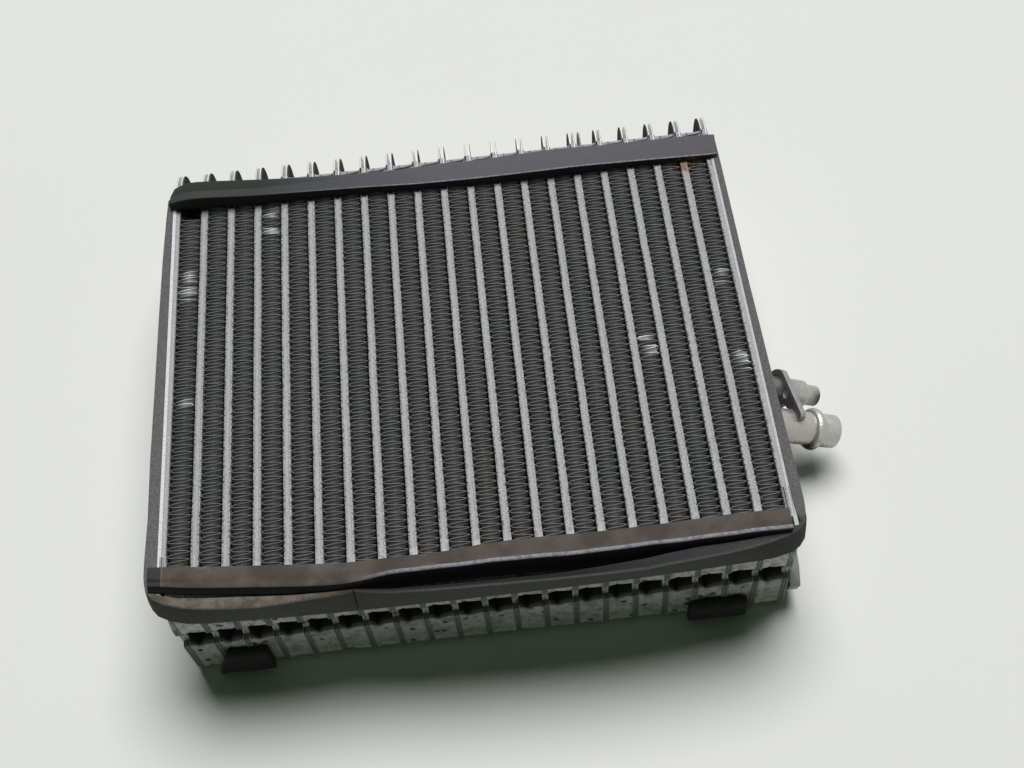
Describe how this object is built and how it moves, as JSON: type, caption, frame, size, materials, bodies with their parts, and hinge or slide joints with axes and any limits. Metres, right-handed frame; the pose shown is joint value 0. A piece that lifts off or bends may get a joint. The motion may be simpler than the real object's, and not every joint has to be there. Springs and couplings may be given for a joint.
{
  "type": "evaporator core",
  "caption": "Laminated-plate evaporator core with corrugated fins between flat tubes, cup-stack header tanks, two angled pipe stubs and foam sealing tapes.",
  "frame": {"origin": "centre of the rear air face, on the rear edge of the middle tube", "axes": "+X across the stack of tubes, towards the pipes; +Y along the tubes, away from the padded end; +Z through the core's depth, towards the front air face"},
  "size_m": [0.2762, 0.2185, 0.064],
  "materials": {
    "tube_sheet": "satin, lightly oxidised brazed sheet",
    "fin_sheet": "thin louvred sheet, dull with dust",
    "cover_sheet": "satin brazed sheet",
    "pipe_aluminium": "satin drawn pipe",
    "retainer_sheet": "dark coated steel plate, edge worn bright",
    "band_foam": "closed-cell foam tape, matt",
    "strip_foam": "closed-cell foam strip, matt and dusty",
    "pad_rubber": "matt black"
  },
  "bodies": {
    "root": {"tube_left_end": "tube_sheet", "tube_01": "tube_sheet", "tube_02": "tube_sheet", "tube_03": "tube_sheet", "tube_04": "tube_sheet", "tube_05": "tube_sheet", "tube_06": "tube_sheet", "tube_07": "tube_sheet", "tube_08": "tube_sheet", "tube_09": "tube_sheet", "tube_10": "tube_sheet", "tube_11": "tube_sheet", "tube_12": "tube_sheet", "tube_13": "tube_sheet", "tube_14": "tube_sheet", "tube_15": "tube_sheet", "tube_16": "tube_sheet", "tube_17": "tube_sheet", "tube_18": "tube_sheet", "tube_19": "tube_sheet", "tube_right_end": "tube_sheet", "fin_01": "fin_sheet", "fin_02": "fin_sheet", "fin_03": "fin_sheet", "fin_04": "fin_sheet", "fin_05": "fin_sheet", "fin_06": "fin_sheet", "fin_07": "fin_sheet", "fin_08": "fin_sheet", "fin_09": "fin_sheet", "fin_10": "fin_sheet", "fin_11": "fin_sheet", "fin_12": "fin_sheet", "fin_13": "fin_sheet", "fin_14": "fin_sheet", "fin_15": "fin_sheet", "fin_16": "fin_sheet", "fin_17": "fin_sheet", "fin_18": "fin_sheet", "fin_19": "fin_sheet", "fin_20": "fin_sheet", "end_cover_left": "cover_sheet", "end_cover_right": "cover_sheet", "side_passage_plate": "cover_sheet", "suction_pipe": "pipe_aluminium", "liquid_pipe": "pipe_aluminium", "retainer_plate": "retainer_sheet", "seal_band_left": "band_foam", "seal_band_right": "band_foam", "face_seal_far": "strip_foam", "face_seal_near": "strip_foam", "pad_left": "pad_rubber", "pad_right": "pad_rubber"}
  },
  "joints": []
}
